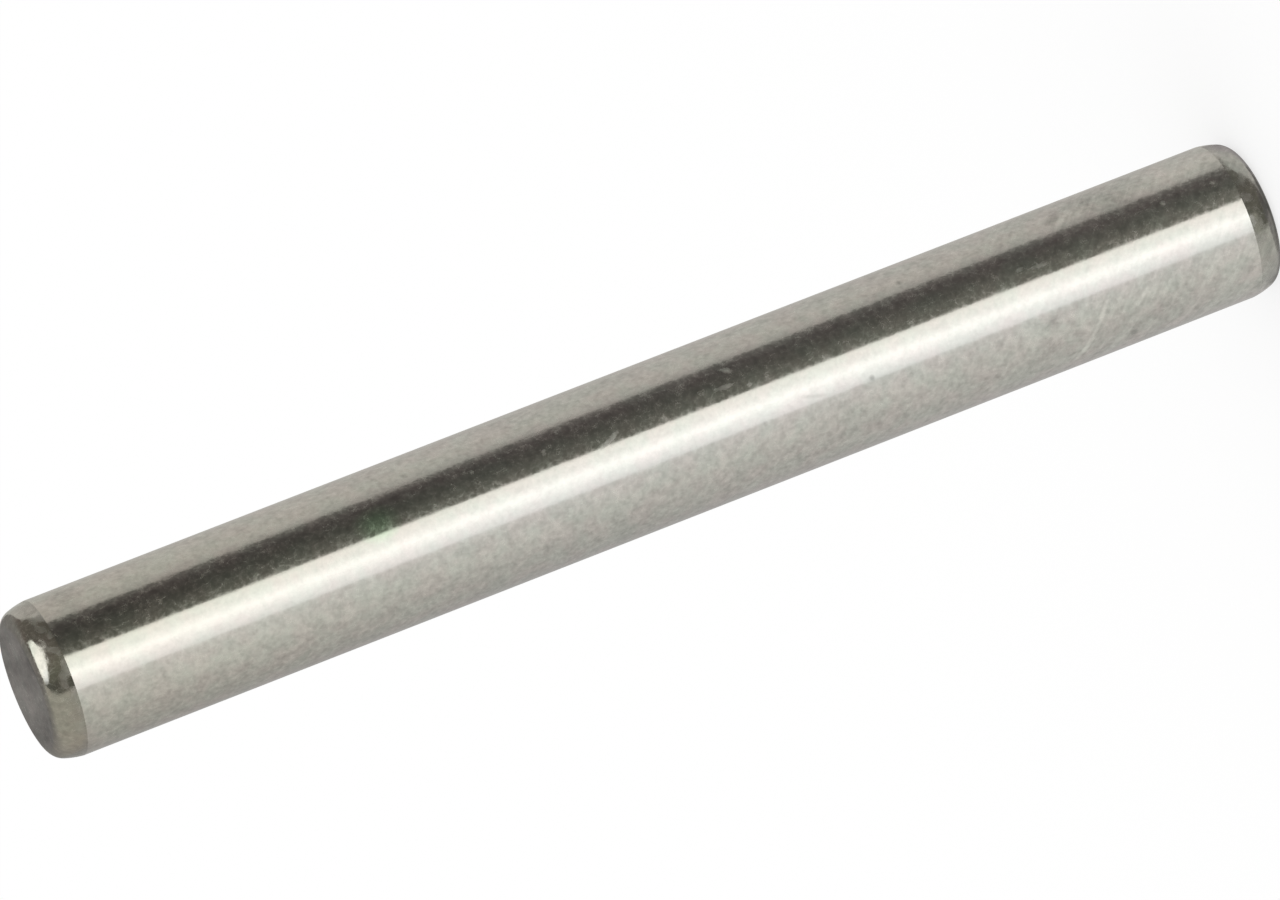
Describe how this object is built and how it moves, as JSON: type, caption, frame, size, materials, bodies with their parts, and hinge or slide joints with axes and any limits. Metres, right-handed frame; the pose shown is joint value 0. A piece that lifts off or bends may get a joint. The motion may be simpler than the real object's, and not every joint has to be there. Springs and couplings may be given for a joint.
{
  "type": "axle pin",
  "caption": "Plain ground steel axle pin: a straight round rod with a crowned chamfer and a flat face at each end, for a wheel, gear, roller or lever to turn on.",
  "frame": {"origin": "centre of the end face that the pin stands on", "axes": "+Z along the pin's axis, up to the other end face; X and Y are free, because the pin is round"},
  "size_m": [0.003, 0.003, 0.025],
  "materials": {
    "ground_steel": "centreless ground and tumbled, bright, with faint rings and nicks"
  },
  "bodies": {
    "root": {"axle_pin": "ground_steel"}
  },
  "joints": []
}
